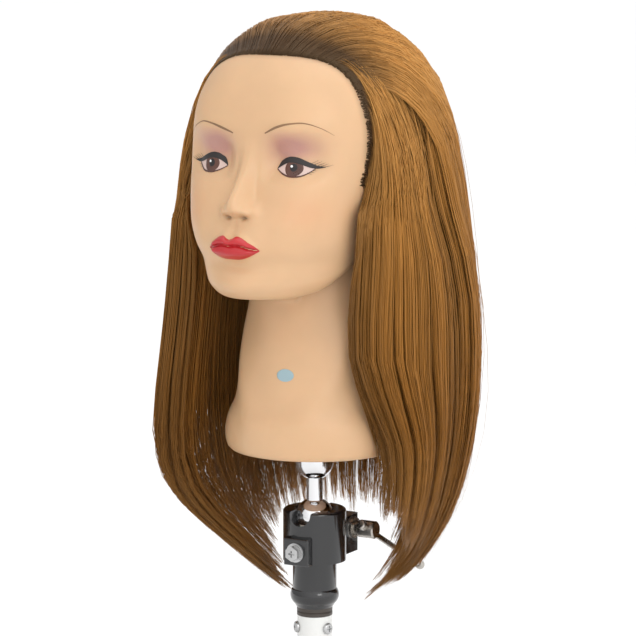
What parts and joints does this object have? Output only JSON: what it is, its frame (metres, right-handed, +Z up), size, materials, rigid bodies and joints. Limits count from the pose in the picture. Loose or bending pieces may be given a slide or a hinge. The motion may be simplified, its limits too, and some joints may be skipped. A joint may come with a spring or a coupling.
{
  "type": "mannequin training head on holder",
  "caption": "Long-haired mannequin training head on a peg, with a lockable ball-joint holder, a T-bar clamp screw and the top of its stand tube.",
  "frame": {"origin": "on the axis of the post tube, at its lower end", "axes": "+Z up along the post; the face looks along -Y; +X is the mannequin's left"},
  "size_m": [0.2364, 0.2336, 0.528],
  "materials": {
    "white_paint": "smooth gloss paint",
    "zinc": "zinc-plated steel",
    "brown_plastic": "moulded",
    "black_plastic": "glossy moulded plastic",
    "nylon": "natural nylon",
    "bright_steel": "bright turned steel",
    "chrome": "mirror chrome",
    "plate_plastic": "moulded, skin-coloured",
    "vinyl_skin": "soft vinyl, painted face",
    "hair": "long golden-brown hair"
  },
  "bodies": {
    "post": {"post_tube": "white_paint", "tube_screws": "zinc", "post_ring": "brown_plastic", "post_sleeve": "black_plastic"},
    "socket": {"socket_barrel": "black_plastic", "ball_seat": "nylon", "seat_spring": "zinc", "pan_bolt": "zinc", "pan_washer": "zinc", "clamp_nut": "zinc"},
    "washer": {"lock_washer": "zinc"},
    "lock": {"lock_screw": "bright_steel"},
    "t_bar": {"tommy_bar": "bright_steel", "bar_cap_upper": "bright_steel", "bar_cap_lower": "bright_steel"},
    "ball": {"swivel_ball": "chrome"},
    "stem": {"ball_stem": "chrome", "stem_collar": "chrome"},
    "bush": {"peg_sleeve": "nylon"},
    "head": {"neck_socket": "nylon", "base_plate": "plate_plastic", "plate_screws": "zinc", "head_skin": "vinyl_skin", "hair_crown": "hair", "hair_left": "hair", "hair_right": "hair", "hair_back": "hair"}
  },
  "joints": [
    {"name": "socket_pan", "type": "hinge", "parent": "post", "child": "socket", "pos_m": [0, 0, 0.131], "axis": [0, 0, 1], "continuous": true},
    {"name": "lock_screw_advance", "type": "slide", "parent": "socket", "child": "washer", "axis": [1, 0, 0], "range_m": [0, 0.0003]},
    {"name": "lock_screw_turn", "type": "hinge", "parent": "washer", "child": "lock", "pos_m": [0, 0.031, 0.15], "axis": [1, 0, 0], "range_deg": [0, 60]},
    {"name": "tommy_bar_slide", "type": "slide", "parent": "lock", "child": "t_bar", "axis": [0, -0.8829, 0.4695], "range_m": [0, 0.08]},
    {"name": "ball_tilt_side", "type": "hinge", "parent": "socket", "child": "ball", "pos_m": [0, 0, 0.162], "axis": [0, 1, 0], "range_deg": [-20, 20]},
    {"name": "ball_tilt_forward", "type": "hinge", "parent": "ball", "child": "stem", "pos_m": [0, 0, 0.162], "axis": [1, 0, 0], "range_deg": [-25, 75], "deforming": ["hair_crown", "hair_left", "hair_right", "hair_back"]},
    {"name": "head_turn", "type": "hinge", "parent": "stem", "child": "bush", "pos_m": [0, 0, 0.215], "axis": [0, 0, 1], "continuous": true},
    {"name": "head_lift", "type": "slide", "parent": "bush", "child": "head", "axis": [0, 0, 1], "range_m": [0, 0.09]}
  ],
  "couplings": [
    {"joint": "lock_screw_advance", "follows": "lock_screw_turn", "m_per_rad": 0.0001989}
  ]
}
